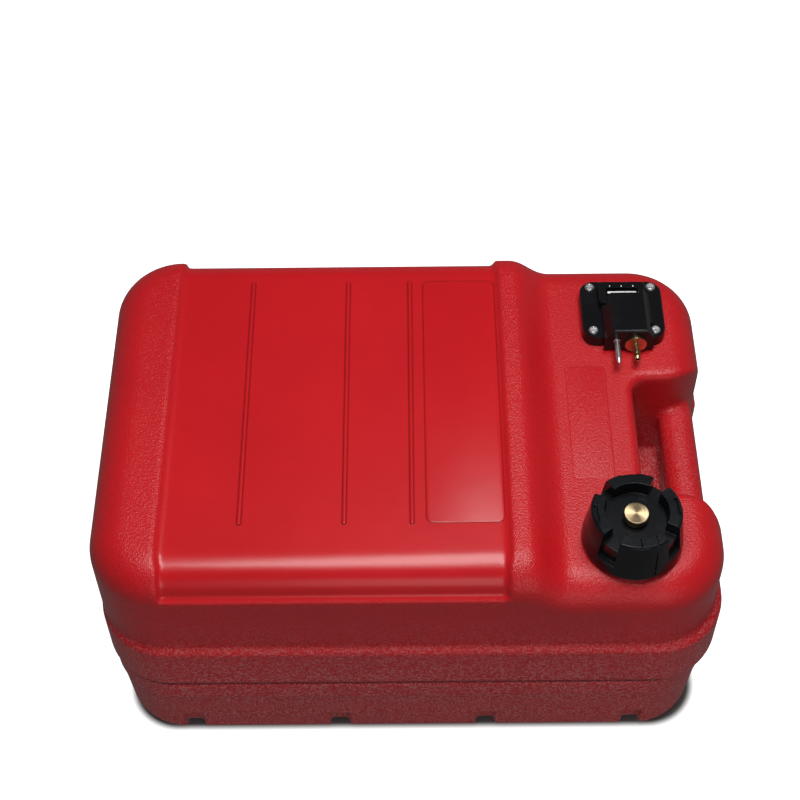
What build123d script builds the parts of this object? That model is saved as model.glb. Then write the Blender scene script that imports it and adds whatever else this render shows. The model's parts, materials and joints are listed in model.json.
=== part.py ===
"""Outboard fuel tank: blow-moulded shell, vented filler cap and fuel head with level gauge.

Millimetres, +Z up.  The origin is on the floor, under the middle of the tank.
+X is the handle end, -Y is the long side beside the filler cap.
"""
from build123d import *
import os
from math import atan, cos, degrees, radians, sin, sqrt, tan

# ---------------------------------------------------------------- tank: overall form
LENGTH = 509.0            # along X, over the belt
WIDTH = 353.0             # along Y, over the belt
HEIGHT = 246.0            # floor to the top of the hump
WALL = 4.0                # wall of the moulding
THIN_WALL = 3.0           # least wall where the inside is bevelled under a rounding
CORNER_R = 57.0           # upright corners of the lower half, seen from above
UPPER_CORNER_R = 56.0     # and of the upper half
SET_SIDE = 5.0            # the upper half is set in from the belt by this on the long sides,
SET_END = 6.0             # by this at the handle end,
SET_FAR = 0.5             # and is almost flush at the far end

FOOT_TAPER = 4.0          # the foot draws in by this, on each side, down to the floor
FOOT_SET_END = 7.0        # the foot is set in from the belt by this at the handle end
FOOT_SET_FAR = 2.5        # and by this at the far end
FOOT_STEP = 1.2           # small step at the top of the tapered part
FOOT_STEP_Z = 72.0
FOOT_R = 16.0             # rounding round the bottom
SEAM_Z = 95.0             # height of the groove along the mould's seam
GROOVE = 2.5              # bevel on each side of the seam groove
LEDGE_Z = 147.0           # top of the belt
LEDGE_EDGE = 3.0          # bevel of the belt's upper edge
TOP_R = 31.0              # rounding round the hump and the saddle
DECK_R = 28.0             # rounding round the lower deck

# ---------------------------------------------------------------- tank: lower deck at the handle end
DECK_DROP = 20.0          # the deck lies this far below the hump
DECK_LENGTH = 132.0       # from the end of the belt to the foot of the slope
SLOPE_RUN = 34.0          # length of the slope between hump and deck

# ---------------------------------------------------------------- tank: saddle panel
PANEL_LEFT_MARGIN = 59.0  # from the far end of the belt to the panel
PANEL_LENGTH = 270.0
PANEL_DEPTH = 4.5
PANEL_DROP = 28.0         # how far the panel runs down over the long sides' rounding
PANEL_SIDE_SLOPE = 4.0    # run of the panel's sloping end edges
RIB_OFFSETS = (61.0, 143.0, 196.0)   # ribs, from the panel's left edge
RIB_WIDTH = 4.5
RIB_HEIGHT = 1.3
RIB_BACK_MARGIN = 42.0    # from the belt's back to a rib's end
RIB_FRONT_MARGIN = 61.0   # from the belt's front to a rib's end

# ---------------------------------------------------------------- tank: foot channels
CHANNEL_PITCH = 125.0
CHANNEL_COUNT = 4
CHANNEL_WIDTH = 16.0
CHANNEL_DEPTH = 6.0
CHANNEL_TOP_Z = 36.0

# ---------------------------------------------------------------- tank: hand gap and handle bar
GAP_DEPTH = 68.0          # from the end of the belt to the inner wall of the gap
GAP_FRONT_Y = -75.0
GAP_BACK_Y = 40.0
GAP_FLOOR_Z = 122.0
GAP_CORNER_R = 14.0
GAP_EDGE_R = 7.0          # rounding of the gap's upper edge
LOBE_R = 40.0             # rounding of the lobes beside the gap, seen from above
LOBE_FLARE = 55.0         # degrees that the gap's mouth flares by
LOBE_SETBACK = 22.0       # from the end of the belt to the corner that the flare is rounded on
UNDER_SETBACK = 35.0      # wall under the bar, at the gap's floor, from the end of the belt
UNDER_FOOT_Z = 40.0       # height where that wall meets the end wall again
BAR_WIDTH = 30.0
BAR_HEIGHT = 32.0
BAR_R = 13.0
BAR_SETBACK = 9.5         # outer face of the bar, from the end of the belt
BAR_TOP_DROP = 47.0       # top of the bar, below the deck
BAR_ROOT = 12.0           # how far the bar runs into each lobe

# ---------------------------------------------------------------- filler neck and cap
CAP_END_MARGIN = 82.5     # cap's axis, from the end of the belt
CAP_FRONT_MARGIN = 55.0   # and from the belt's front
NECK_R = 27.0
NECK_BORE_R = 21.5
NECK_HEIGHT = 22.0        # above the deck
NECK_ROOT = 9.0           # below the deck
NECK_COLLAR_R = 33.0
NECK_COLLAR_HEIGHT = 2.0
FIT = 0.3                 # clearance between pieces that move against each other

CAP_LIFT_GAP = 4.0        # cap's lower rim, above the deck
CAP_R_LOW = 39.5
CAP_R_HIGH = 35.0
CAP_EDGE = 1.4            # bevel round the lugs' outer edge
CAP_WALL = 3.0
CAP_CORE_HEIGHT = 5.0     # depth of the ring cored out of the skirt from below
CAP_BOWL_DEPTH = 12.0     # height of the lugs above the cap's face
CAP_BOWL_R_HIGH = 25.0
CAP_BOWL_R_LOW = 24.0
CAP_WEB = 3.0             # thickness of the cap's top
LUG_COUNT = 4
LUG_TURN = 5.5            # degrees that the closed cap's lugs stand off the tank's axes
LUG_GAP_ANGLE = 24.0      # width of the gaps between the lugs, in degrees
LUG_POCKET_R = 34.0       # below the face a gap goes on as a pocket in the skirt, down to this radius
LUG_POCKET_RISE = 10.0    # and to this height above the lower rim
SLIT_WIDTH = 1.0
SLIT_DEPTH = 2.0
SLIT_SPOTS = (-2.2, 10.2) # slits across the front lug, from the cap's middle
SLOT_R = 31.0             # slots in the side lugs
SLOT_WIDTH = 2.4
SLOT_LENGTH = 16.0
SLOT_DEPTH = 3.0
NOTCH_R = 31.5            # notch in the back lug's rim reaches in to this radius
NOTCH_WIDTH = 12.0
NOTCH_DEPTH = 3.0
LINER_WALL = 2.6
LINER_FOOT_RISE = 1.5     # liner's foot, above the cap's lower rim
LINER_TOP = 2.2
GASKET_T = 1.8

KNOB_R = 9.8
KNOB_HEIGHT = 7.0
KNOB_CHAMFER = 0.6
KNOB_FIT = 0.1            # between the knob and its seal
VENT_STEM_R = 3.0
VENT_FIT = 0.05           # radial running fit of the vent screw in its bush
VENT_STEM_LENGTH = 8.8
VENT_BUSH_R = 5.5
VENT_BUSH_ROOT = 3.5      # how far the bush reaches below the cap's top
VENT_SEAL_T = 1.3
VENT_SEAL_R = 5.2

# ---------------------------------------------------------------- fuel head
METER_END_MARGIN = 72.0   # head's middle, from the end of the belt
METER_BACK_MARGIN = 72.5  # and from the belt's back
PLATE_LENGTH = 70.0       # along X
PLATE_WIDTH = 63.0        # along Y
PLATE_THICK = 10.5
PLATE_R = 12.0
SEAT_RISE = 1.0           # the moulded seat stands this far above the deck
SEAT_ROOT = 14.0
SEAT_MARGIN = 1.0         # the seat and gasket are this much smaller than the plate
HATCH_R = 25.0            # hole in the deck under the head
METER_GASKET_T = 1.5
SCREW_PITCH_X = 52.5
SCREW_PITCH_Y = 48.0
SCREW_R = 2.0
SCREW_LENGTH = 20.0
SCREW_FIT = 0.05
HEAD_R = 4.2
HEAD_HEIGHT = 2.6
HEAD_EDGE = 1.1           # bevel round a screw head
HEAD_SINK = 0.8           # depth of the seat that a screw head sits in
HEAD_SEAT_R = 5.2
DRIVE_WIDTH = 0.95
DRIVE_LENGTH = 5.0
DRIVE_DEPTH = 1.3
INSERT_R = 3.5
INSERT_LENGTH = 12.0
BOSS_R = 7.0

BLOCK_TOP_RISE = 13.5     # block's top above the plate
BLOCK_FRONT = 5.0         # block's front face stands this far in front of the plate
BLOCK_LENGTH = 47.0       # along Y
BLOCK_BASE_WIDTH = 42.0
BLOCK_TOP_WIDTH = 27.0
BLOCK_SHIFT_X = 3.2       # block's middle, from the head's middle
BLOCK_KNEE_RISE = 3.4     # where the block's flanks start to slope, above the plate
BLOCK_R = 2.0             # rounding of the block's upper edges
PLATE_EDGE = 1.2          # bevel round the plate and the gauge housing
HOUSING_WIDTH = 40.0      # gauge housing, along X
HOUSING_R = 3.0
HOUSING_LENGTH = 24.0     # gauge housing, along Y
HOUSING_SETBACK = 7.0     # from the plate's back edge
HOUSING_RISE = 8.0        # its top above the plate

# level gauge
WINDOW_LENGTH = 27.0
WINDOW_WIDTH = 10.0
WINDOW_THICK = 2.2
WINDOW_SINK = 0.8         # window's face below the housing's top
WINDOW_RIM = 1.5          # ledge that the window sits on
WINDOW_Y_SHIFT = 11.5     # gauge axis, from the head's middle
DRUM_R = 11.5
DRUM_WIDTH = 9.0
DRUM_EDGE = 0.5
DRUM_GAP = 1.2            # between the drum and the window's ledge
CHAMBER_FIT = 1.6
PIVOT_R = 1.5
PIVOT_FIT = 0.05
PIVOT_LENGTH = 19.0
ARM_R = 1.3
ARM_CRANK = 20.0          # drop of the arm below the pivot, tank full
ARM_BEND_R = 6.0
SWING = 67.5              # degrees from empty to full
FLOAT_R = 14.0
FLOAT_LENGTH = 38.0
FLOAT_EDGE = 2.5
FLOAT_GAP = 2.4           # between the float and the tank's floor, tank empty

# pickup
OUTLET_SHIFT_X = 8.5      # prong and pickup, from the head's middle
PICKUP_SHIFT_Y = -10.0
TUBE_R = 4.5
TUBE_BORE_R = 3.0
TUBE_SEAT = 6.0           # how far the tube goes into the head
TUBE_FOOT_Z = 20.0
STRAINER_R = 9.0
STRAINER_LENGTH = 26.0
STRAINER_FOOT_Z = 14.0
STRAINER_WALL = 1.2
STRAINER_CAP = 2.4        # thickness of the cage's top
STRAINER_BAND = 3.6       # solid band above and below the windows
STRAINER_WINDOWS = 6
STRAINER_WINDOW_WIDTH = 5.5
PASSAGE_R = 2.0
TUBE_SEAL_T = 2.0         # square-cut ring round the tube, as wide as it is thick

# outlet prong and guide pin
PRONG_Z_RISE = -1.4       # prong's axis above the plate's top
PRONG_SHANK_R = 5.0
PRONG_SHANK_LENGTH = 12.0
PRONG_SEAL_Y = 5.0        # seal groove, behind the block's face
PRONG_SEAL_T = 1.5        # square-cut ring in the groove
PRONG_FLANGE_R = 9.2
PRONG_FLANGE_T = 2.6
PRONG_STEM_R = 2.3
PRONG_HEAD_R = 3.1
PRONG_HEAD_LENGTH = 8.0   # ringed head, from the tip
PRONG_RING_T = 2.0
PRONG_LENGTH = 16.0       # in front of the flange
PRONG_BORE_R = 1.3
GUIDE_SHIFT_X = -7.6      # guide pin, from the head's middle
GUIDE_Z_RISE = 0.5        # its axis above the plate's top
GUIDE_R = 2.3
GUIDE_LENGTH = 24.0       # in front of the block
GUIDE_TAPER = 5.0
GUIDE_TIP_R = 1.4
GUIDE_TIP_EDGE = 1.0
GUIDE_ROOT = 12.0         # inside the block
GUIDE_ROOT_R = 2.8        # the root is thicker, for a firm hold in the plastic
GUIDE_RELIEF = 1.0        # length of the relief groove in front of the block
GUIDE_RELIEF_R = 2.0

# ---------------------------------------------------------------- places worked out from the above
END_X = LENGTH / 2
SIDE_Y = WIDTH / 2
UPPER_Y = SIDE_Y - SET_SIDE
DECK_Z = HEIGHT - DECK_DROP
SLOPE_FOOT_X = END_X - DECK_LENGTH
SLOPE_TOP_X = SLOPE_FOOT_X - SLOPE_RUN
PANEL_X0 = -END_X + PANEL_LEFT_MARGIN
PANEL_X1 = PANEL_X0 + PANEL_LENGTH
GAP_X = END_X - GAP_DEPTH
CAP_X = END_X - CAP_END_MARGIN
CAP_Y = -SIDE_Y + CAP_FRONT_MARGIN
METER_X = END_X - METER_END_MARGIN
METER_Y = SIDE_Y - METER_BACK_MARGIN
NECK_TOP_Z = DECK_Z + NECK_HEIGHT
CAP_Z0 = DECK_Z + CAP_LIFT_GAP
GASKET_Z1 = NECK_TOP_Z + FIT + GASKET_T
LINER_R = NECK_R + FIT + LINER_WALL
LINER_Z1 = GASKET_Z1 + LINER_TOP
CAP_WEB_Z = LINER_Z1 + FIT
CAP_FACE_Z = CAP_WEB_Z + CAP_WEB
CAP_Z1 = CAP_FACE_Z + CAP_BOWL_DEPTH
SEAT_Z = DECK_Z + SEAT_RISE
PLATE_Z0 = SEAT_Z + METER_GASKET_T
PLATE_Z1 = PLATE_Z0 + PLATE_THICK
BLOCK_FACE_Y = METER_Y - PLATE_WIDTH / 2 - BLOCK_FRONT
BLOCK_Z1 = PLATE_Z1 + BLOCK_TOP_RISE
HOUSING_Z1 = PLATE_Z1 + HOUSING_RISE
WINDOW_Z1 = HOUSING_Z1 - WINDOW_SINK
WINDOW_Z0 = WINDOW_Z1 - WINDOW_THICK
GAUGE_Y = METER_Y + WINDOW_Y_SHIFT
PIVOT_Z = WINDOW_Z0 - DRUM_GAP - DRUM_R
FLOAT_DROP = PIVOT_Z - WALL - FLOAT_GAP - FLOAT_R      # of the float's middle, tank empty
ARM_LENGTH = (FLOAT_DROP - ARM_CRANK * cos(radians(SWING))) / sin(radians(SWING))
OUTLET_X = METER_X + OUTLET_SHIFT_X
OUTLET_Z = PLATE_Z1 + PRONG_Z_RISE
GUIDE_X = METER_X + GUIDE_SHIFT_X
PICKUP_Y = METER_Y + PICKUP_SHIFT_Y
SCREW_SPOTS = [(METER_X + i * SCREW_PITCH_X / 2, METER_Y + j * SCREW_PITCH_Y / 2)
               for i in (-1, 1) for j in (-1, 1)]
BIG = 2 * LENGTH


# ---------------------------------------------------------------- small helpers
def box(x0, x1, y0, y1, z0, z1):
    """A box between two corners."""
    size = (x1 - x0, y1 - y0, z1 - z0)
    middle = ((x0 + x1) / 2, (y0 + y1) / 2, (z0 + z1) / 2)
    return Pos(*middle) * Box(*size)


def rod(x, y, z0, z1, radius):
    """An upright cylinder."""
    return Pos(x, y, (z0 + z1) / 2) * Cylinder(radius, z1 - z0)


def rod_y(x, z, y0, y1, radius):
    """A cylinder along Y."""
    return Pos(x, (y0 + y1) / 2, z) * Rot(X=90) * Cylinder(radius, y1 - y0)


def turned(points):
    """A solid of revolution about Z from (radius, height) points."""
    face = make_face(Polyline(*[(r, 0, z) for r, z in points], close=True))
    return revolve(face, Axis.Z)


def turned_y(points):
    """A solid of revolution about Y from (radius, y) points."""
    face = make_face(Polyline(*[(r, y, 0) for r, y in points], close=True))
    return revolve(face, Axis.Y)


def prism_y(points, y0, y1):
    """A prism along Y from (x, z) points."""
    face = make_face(Polyline(*[(x, y0, z) for x, z in points], close=True))
    return extrude(face, amount=y1 - y0, dir=(0, 1, 0))


def top_edges(solid):
    return solid.edges().group_by(Axis.Z)[-1]


def bottom_edges(solid):
    return solid.edges().group_by(Axis.Z)[0]


# ---------------------------------------------------------------- tank body
def plan(length, width, corner_r, inset):
    """Outline seen from above, drawn in by inset."""
    return RectangleRounded(length - 2 * inset, width - 2 * inset, corner_r - inset)


def belt_plan(inset):
    return plan(LENGTH, WIDTH, CORNER_R, inset)


def foot_plan(inset):
    face = plan(LENGTH - FOOT_SET_END - FOOT_SET_FAR, WIDTH, CORNER_R, inset)
    return Pos((FOOT_SET_FAR - FOOT_SET_END) / 2, 0, 0) * face


def upper_plan(inset):
    face = plan(LENGTH - SET_END - SET_FAR, WIDTH - 2 * SET_SIDE, UPPER_CORNER_R, inset)
    return Pos((SET_FAR - SET_END) / 2, 0, 0) * face


def inner_bevel(radius):
    """Bevel of the inside under a rounding of the outside, at which the wall is THIN_WALL or more."""
    reach = radius - WALL
    return reach - sqrt((radius - THIN_WALL) ** 2 - reach ** 2)


def soften(edges, radius, inset):
    """Round a form's edges on the outside of the moulding, and bevel them on the inside."""
    if inset:
        return chamfer(edges, inner_bevel(radius))
    return fillet(edges, radius)


def foot(inset):
    """Lower half up to the step: it widens from the rounded bottom."""
    low = Pos(0, 0, inset) * foot_plan(inset + FOOT_STEP + FOOT_TAPER)
    body = extrude(low, FOOT_STEP_Z - inset, taper=-degrees(atan(FOOT_TAPER / FOOT_STEP_Z)))
    return soften(bottom_edges(body), FOOT_R, inset)


def strip(inset):
    """Upright strip between the step and the seam."""
    return Pos(0, 0, FOOT_STEP_Z) * extrude(foot_plan(inset), SEAM_Z - FOOT_STEP_Z)


def belt(inset):
    """Straight belt between the seam and the ledge."""
    return Pos(0, 0, SEAM_Z) * extrude(belt_plan(inset), LEDGE_Z - inset - SEAM_Z)


def upper_block(inset, top_z, radius):
    """Upper half as one block of even height, softened round the top."""
    body = Pos(0, 0, GAP_FLOOR_Z) * extrude(upper_plan(inset), top_z - inset - GAP_FLOOR_Z)
    return soften(top_edges(body), radius, inset)


def slope_section(inset, share):
    """Cross-section of the slope between hump and deck, share of the way down."""
    x = SLOPE_TOP_X + SLOPE_RUN * share
    ease = share * share * (3 - 2 * share)
    top = HEIGHT - inset - DECK_DROP * ease
    half = UPPER_Y - inset
    radius = TOP_R + (DECK_R - TOP_R) * ease
    cut = inner_bevel(radius) if inset else radius
    low = GAP_FLOOR_Z
    edges = [Line((x, half, top - cut), (x, half, low)), Line((x, half, low), (x, -half, low)),
             Line((x, -half, low), (x, -half, top - cut)), Line((x, cut - half, top), (x, half - cut, top))]
    for side in (-1, 1):
        ends = ((x, side * half, top - cut), (x, side * (half - cut), top))
        bulge = cut * (1 - sqrt(0.5))
        middle = (x, side * (half - bulge), top - bulge)
        edges.append(Line(*ends) if inset else ThreePointArc(ends[0], middle, ends[1]))
    return make_face(edges)


def gap_plan(grow):
    """Outline of the hand gap seen from above, open at the end wall."""
    mouth_x = END_X - LOBE_SETBACK
    run = BIG * 0.1 * cos(radians(LOBE_FLARE))
    rise = BIG * 0.1 * sin(radians(LOBE_FLARE))
    y0 = GAP_FRONT_Y - grow
    y1 = GAP_BACK_Y + grow
    points = [(GAP_X - grow, y0), (mouth_x, y0), (mouth_x + run, y0 - rise),
              (mouth_x + run, y1 + rise), (mouth_x, y1), (GAP_X - grow, y1)]
    face = make_face(Polyline(*points, close=True))
    mouth = [v for v in face.vertices() if abs(v.X - mouth_x) < 0.01]
    face = fillet(mouth, LOBE_R)
    inner = [v for v in face.vertices() if abs(v.X - GAP_X + grow) < 0.01]
    return fillet(inner, GAP_CORNER_R + grow)


def gap_mask(inset):
    """What stands beside the hand gap above its floor, with the gap's upper edge rounded."""
    x0 = SLOPE_FOOT_X - 1
    x1 = BIG / 2
    sheet = Pos((x0 + x1) / 2, 0, 0) * Rectangle(x1 - x0, 2 * WIDTH) - gap_plan(inset)
    body = Pos(0, 0, GAP_FLOOR_Z) * extrude(sheet, DECK_Z - inset - GAP_FLOOR_Z)
    if inset:
        return body
    rim = [e for e in top_edges(body)
           if x0 + 1 < e.center().X < x1 - 1 and abs(e.center().Y) < SIDE_Y - 1]
    return fillet(rim, GAP_EDGE_R)


def upper(inset):
    """Upper half: hump and saddle, slope, lower deck with the hand gap."""
    high = upper_block(inset, HEIGHT, TOP_R)
    low = upper_block(inset, DECK_Z, DECK_R)
    tall = 2 * HEIGHT
    left = high & box(-BIG, SLOPE_TOP_X, -BIG, BIG, 0, tall)
    right = low & box(SLOPE_FOOT_X, BIG, -BIG, BIG, 0, tall)
    right = right & gap_mask(inset)
    sections = [slope_section(inset, i / 4) for i in range(5)]
    slope = loft(sections, ruled=inset > 0)
    return left + slope + right


def saddle(inset):
    """Space taken out of the upper half by the saddle panel."""
    z0 = HEIGHT - PANEL_DROP - inset
    slope = PANEL_SIDE_SLOPE
    prism = prism_y([(PANEL_X0 - inset, z0), (PANEL_X1 + inset, z0),
                     (PANEL_X1 + inset, HEIGHT - PANEL_DEPTH - inset),
                     (PANEL_X1 + inset + slope, HEIGHT + 1), (PANEL_X0 - inset - slope, HEIGHT + 1),
                     (PANEL_X0 - inset, HEIGHT - PANEL_DEPTH - inset)], -BIG / 2, BIG / 2)
    kept = extrude(upper_plan(PANEL_DEPTH + inset), HEIGHT - PANEL_DEPTH - inset)
    return prism - soften(top_edges(kept), TOP_R - PANEL_DEPTH, inset)


def channels(inset):
    """Space taken out of the foot by the channels that run across under it and up both long sides."""
    width = CHANNEL_WIDTH + 2 * inset
    slabs = []
    for i in range(CHANNEL_COUNT):
        x = (i - (CHANNEL_COUNT - 1) / 2) * CHANNEL_PITCH
        slabs.append(box(x - width / 2, x + width / 2, -SIDE_Y - 1, SIDE_Y + 1, -1, CHANNEL_TOP_Z + inset))
    return Part() + slabs - foot(CHANNEL_DEPTH + inset)


def under_bar(inset):
    """Space under the bar, in front of the gap's floor."""
    y0 = GAP_FRONT_Y - inset
    y1 = GAP_BACK_Y + inset
    top_x = END_X - UNDER_SETBACK - inset
    return prism_y([(top_x, GAP_FLOOR_Z + 1), (BIG / 2, GAP_FLOOR_Z + 1), (BIG / 2, UNDER_FOOT_Z - inset),
                    (END_X - FOOT_TAPER / 2 - inset, UNDER_FOOT_Z - inset)], y0, y1)


def bar(inset):
    """The handle bar between the lobes."""
    outer_x = END_X - BAR_SETBACK
    top_z = DECK_Z - BAR_TOP_DROP
    section = RectangleRounded(BAR_WIDTH - 2 * inset, BAR_HEIGHT - 2 * inset, BAR_R - inset)
    y0 = GAP_FRONT_Y - BAR_ROOT
    y1 = GAP_BACK_Y + BAR_ROOT
    place = Pos(outer_x - BAR_WIDTH / 2, y0, top_z - BAR_HEIGHT / 2) * Rot(X=-90)
    return place * extrude(section, y1 - y0)


def tank_form(inset, lower_half):
    """The tank's whole form, drawn in by inset, on top of a lower half from floor to ledge."""
    body = lower_half + upper(inset) - saddle(inset)
    gap = Pos(0, 0, GAP_FLOOR_Z - inset) * extrude(gap_plan(inset), LEDGE_Z - GAP_FLOOR_Z + inset + 1)
    return body - gap - under_bar(inset) + bar(inset)


def tank_outside():
    """Outside of the moulding, with the seam groove and the belt's bevelled upper edge."""
    low = chamfer(top_edges(strip(0)), GROOVE)
    high = chamfer(bottom_edges(chamfer(top_edges(belt(0)), LEDGE_EDGE)), GROOVE)
    return tank_form(0, foot(0) - channels(0) + low + high)


def tank_hollow():
    """Inside of the moulding, one wall in from the outside."""
    return tank_form(WALL, foot(WALL) - channels(WALL) + strip(WALL) + belt(WALL))


def panel_ribs():
    """Three thin ribs along the saddle panel."""
    y0 = -SIDE_Y + RIB_FRONT_MARGIN
    y1 = SIDE_Y - RIB_BACK_MARGIN
    floor_z = HEIGHT - PANEL_DEPTH
    ribs = []
    for shift in RIB_OFFSETS:
        strip = SlotOverall(y1 - y0, RIB_WIDTH, rotation=90)
        ribs.append(Pos(PANEL_X0 + shift, (y0 + y1) / 2, floor_z - 0.5) * extrude(strip, RIB_HEIGHT + 0.5))
    return ribs


def plate_outline(margin=0.0):
    """Outline of the fuel head's plate, drawn in by margin."""
    return RectangleRounded(PLATE_LENGTH - 2 * margin, PLATE_WIDTH - 2 * margin, PLATE_R - margin)


def tank_body():
    """One-piece moulding: hollow shell, filler neck and the seat for the fuel head."""
    shell = tank_outside()
    seat = extrude(plate_outline(SEAT_MARGIN), SEAT_ROOT + SEAT_RISE)
    shell = shell + Pos(METER_X, METER_Y, DECK_Z - SEAT_ROOT) * seat
    hollow = tank_hollow()
    for x, y in SCREW_SPOTS:
        hollow = hollow - rod(x, y, SEAT_Z - INSERT_LENGTH - WALL, SEAT_Z, BOSS_R)
    shell = shell - hollow
    shell = shell + rod(CAP_X, CAP_Y, DECK_Z - NECK_ROOT, NECK_TOP_Z, NECK_R)
    shell = shell + rod(CAP_X, CAP_Y, DECK_Z - 1, DECK_Z + NECK_COLLAR_HEIGHT, NECK_COLLAR_R)
    shell = shell - rod(CAP_X, CAP_Y, DECK_Z - 2 * NECK_ROOT, NECK_TOP_Z + 1, NECK_BORE_R)
    shell = shell - rod(METER_X, METER_Y, DECK_Z - 2 * SEAT_ROOT, SEAT_Z + 1, HATCH_R)
    for x, y in SCREW_SPOTS:
        shell = shell - rod(x, y, SEAT_Z - INSERT_LENGTH, SEAT_Z + 1, INSERT_R)
    return shell + panel_ribs()


# ---------------------------------------------------------------- filler cap
def at_cap(solid):
    return Pos(CAP_X, CAP_Y, 0) * solid


def lug_gap():
    """Space between two lugs: a gap level with the cap's face, and a pocket down the skirt."""
    reach = 2 * CAP_R_LOW
    spread = reach * tan(radians(LUG_GAP_ANGLE / 2))
    wedge = make_face(Polyline((0, 0), (reach, -spread), (reach, spread), close=True))
    foot_z = CAP_Z0 + LUG_POCKET_RISE
    space = Pos(0, 0, foot_z) * extrude(wedge, CAP_Z1 - foot_z + 1)
    return space - rod(0, 0, foot_z - 1, CAP_FACE_Z, LUG_POCKET_R)


def lug_cuts():
    """Slits across the front lug, slots in the side lugs and a notch in the back lug's rim."""
    top = CAP_Z1 + 1
    slit = SLIT_WIDTH / 2
    slit_z = CAP_Z1 - SLIT_DEPTH
    near, far = SLIT_SPOTS
    cuts = [box(near - slit, near + slit, -CAP_R_LOW, -CAP_BOWL_R_LOW, slit_z, top),
            box(far - slit, far + slit, -CAP_R_LOW, -CAP_BOWL_R_LOW, slit_z, top),
            box(far - slit, far + slit, -CAP_R_LOW, -CAP_R_HIGH + SLIT_DEPTH / 2, CAP_Z0 + CAP_WALL, top)]
    half = NOTCH_WIDTH / 2
    cuts.append(box(-half, half, NOTCH_R, CAP_R_LOW, CAP_Z1 - NOTCH_DEPTH, top))
    for side in (-1, 1):
        x = side * SLOT_R
        cuts.append(box(x - SLOT_WIDTH / 2, x + SLOT_WIDTH / 2, -SLOT_LENGTH / 2, SLOT_LENGTH / 2,
                        CAP_Z1 - SLOT_DEPTH, top))
    return cuts


def cap_shell():
    """Cap with a sunk face inside four tall grip lugs."""
    bore = LINER_R + FIT
    body = turned([
        (bore, CAP_Z0), (CAP_R_LOW, CAP_Z0), (CAP_R_LOW, CAP_Z0 + CAP_WALL), (CAP_R_HIGH, CAP_Z1 - CAP_EDGE),
        (CAP_R_HIGH - CAP_EDGE, CAP_Z1), (CAP_BOWL_R_HIGH, CAP_Z1), (CAP_BOWL_R_LOW, CAP_FACE_Z),
        (VENT_BUSH_R, CAP_FACE_Z), (VENT_BUSH_R, CAP_WEB_Z), (bore, CAP_WEB_Z)])
    core_r = bore + CAP_WALL
    core_z = CAP_Z0 + CAP_CORE_HEIGHT
    body = body - turned([(core_r, CAP_Z0 - 1), (CAP_R_LOW - CAP_WALL, CAP_Z0 - 1),
                          (CAP_R_LOW - CAP_WALL, core_z), (core_r, core_z)])
    gap = lug_gap()
    for i in range(LUG_COUNT):
        body = body - Rot(Z=(i + 0.5) * 360 / LUG_COUNT) * gap
    return at_cap(Rot(Z=LUG_TURN) * (body - lug_cuts()))


def cap_liner():
    """Threaded sleeve inside the cap, with a top that presses the gasket down."""
    inner = NECK_R + FIT
    foot_z = CAP_Z0 + LINER_FOOT_RISE
    hole = VENT_BUSH_R + FIT
    return at_cap(turned([(inner, foot_z), (LINER_R, foot_z), (LINER_R, LINER_Z1), (hole, LINER_Z1),
                          (hole, GASKET_Z1), (inner, GASKET_Z1)]))


def cap_gasket():
    """Flat rubber ring on the neck's rim."""
    z0 = NECK_TOP_Z + FIT
    bore = NECK_BORE_R
    return at_cap(turned([(bore, z0), (NECK_R, z0), (NECK_R, GASKET_Z1), (bore, GASKET_Z1)]))


def vent_bush():
    """Brass bush moulded into the middle of the cap."""
    bore = VENT_STEM_R + VENT_FIT
    foot_z = CAP_WEB_Z - VENT_BUSH_ROOT
    bush_r = VENT_BUSH_R
    return at_cap(turned([(bore, foot_z), (bush_r, foot_z), (bush_r, CAP_FACE_Z), (bore, CAP_FACE_Z)]))


def vent_seal():
    """Rubber ring between the bush and the vent screw's head."""
    inner = VENT_STEM_R + FIT
    return at_cap(turned([(inner, CAP_FACE_Z), (VENT_SEAL_R, CAP_FACE_Z),
                          (VENT_SEAL_R, CAP_FACE_Z + VENT_SEAL_T), (inner, CAP_FACE_Z + VENT_SEAL_T)]))


def vent_knob():
    """Brass vent screw: flat turned head on a stem with a pointed end."""
    z0 = CAP_FACE_Z + VENT_SEAL_T + KNOB_FIT
    z1 = z0 + KNOB_HEIGHT
    tip = z0 - VENT_STEM_LENGTH
    stem = VENT_STEM_R
    rim = KNOB_R - KNOB_CHAMFER
    return at_cap(turned([(0, tip), (stem / 2, tip), (stem, tip + stem / 2), (stem, z0), (rim, z0),
                          (KNOB_R, z0 + KNOB_CHAMFER), (KNOB_R, z1 - KNOB_CHAMFER), (rim, z1), (0, z1)]))


# ---------------------------------------------------------------- fuel head
def meter_gasket():
    """Rubber sheet between the moulded seat and the plate."""
    body = Pos(METER_X, METER_Y, SEAT_Z) * extrude(plate_outline(SEAT_MARGIN), METER_GASKET_T)
    body = body - rod(METER_X, METER_Y, SEAT_Z - 1, PLATE_Z0 + 1, HATCH_R)
    for x, y in SCREW_SPOTS:
        body = body - rod(x, y, SEAT_Z - 1, PLATE_Z0 + 1, SCREW_R + FIT)
    return body


def head_block():
    """Block with the fuel passage: broad foot, sloping flanks, upright front."""
    x = METER_X + BLOCK_SHIFT_X
    low = BLOCK_BASE_WIDTH / 2
    high = BLOCK_TOP_WIDTH / 2
    knee_z = PLATE_Z1 + BLOCK_KNEE_RISE
    block = prism_y([(x - low, PLATE_Z0), (x + low, PLATE_Z0), (x + low, knee_z), (x + high, BLOCK_Z1),
                     (x - high, BLOCK_Z1), (x - low, knee_z)], BLOCK_FACE_Y, BLOCK_FACE_Y + BLOCK_LENGTH)
    return fillet(top_edges(block), BLOCK_R)


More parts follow.
